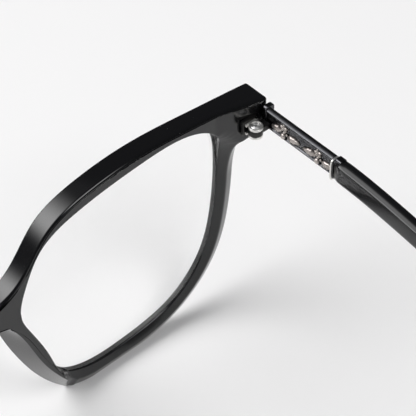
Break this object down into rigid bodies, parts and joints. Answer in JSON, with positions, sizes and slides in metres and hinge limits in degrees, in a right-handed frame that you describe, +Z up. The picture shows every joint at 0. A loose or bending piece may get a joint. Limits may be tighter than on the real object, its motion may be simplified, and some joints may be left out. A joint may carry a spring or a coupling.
{
  "type": "eyeglasses",
  "caption": "Full-rim eyeglasses with glossy black front, clear lenses, and temples that fold on hinges behind an ornamented metal link.",
  "frame": {"origin": "on the surface the open glasses stand on, under the middle of their overall box, midway between the two temples", "axes": "+X towards the wearer's left, +Y from the front back along the temples to the ears, +Z up"},
  "size_m": [0.1402, 0.1398, 0.0548],
  "materials": {
    "frame_black": "polished injection-moulded black plastic",
    "temple_black": "polished black plastic sleeve",
    "pad_black": "polished black plastic pad, slightly softer gloss",
    "lens_clear": "clear lens with a faint blue reflection",
    "hinge_silver": "bright nickel plate",
    "screw_silver": "turned steel with a slot",
    "link_black": "black nickel plate",
    "ornament_silver": "antique silver with dark recesses",
    "core_steel": "drawn wire"
  },
  "bodies": {
    "front_body": {"front": "frame_black", "lens_right": "lens_clear", "nose_pad_right": "pad_black", "hinge_front_leaf_right": "hinge_silver", "hinge_rivets_right": "hinge_silver", "hinge_screw_right": "screw_silver", "lens_left": "lens_clear", "nose_pad_left": "pad_black", "hinge_front_leaf_left": "hinge_silver", "hinge_rivets_left": "hinge_silver", "hinge_screw_left": "screw_silver"},
    "temple_right": {"hinge_temple_leaf_right": "link_black", "link_plate_right": "link_black", "front_collar_right": "link_black", "rear_collar_right": "link_black", "collar_band_right": "hinge_silver", "ornament_flowers_right": "ornament_silver", "ornament_beads_right": "ornament_silver", "ornament_leaves_right": "ornament_silver", "temple_arm_right": "temple_black", "core_wire_right": "core_steel"},
    "temple_left": {"hinge_temple_leaf_left": "link_black", "link_plate_left": "link_black", "front_collar_left": "link_black", "rear_collar_left": "link_black", "collar_band_left": "hinge_silver", "ornament_flowers_left": "ornament_silver", "ornament_beads_left": "ornament_silver", "ornament_leaves_left": "ornament_silver", "temple_arm_left": "temple_black", "core_wire_left": "core_steel"}
  },
  "joints": [
    {"name": "fold_right", "type": "hinge", "parent": "front_body", "child": "temple_right", "pos_m": [-0.0649, -0.06227, 0.04767], "axis": [0, 0, -1], "range_deg": [0, 88]},
    {"name": "fold_left", "type": "hinge", "parent": "front_body", "child": "temple_left", "pos_m": [0.0649, -0.06227, 0.04767], "axis": [0, 0, 1], "range_deg": [0, 82]}
  ]
}
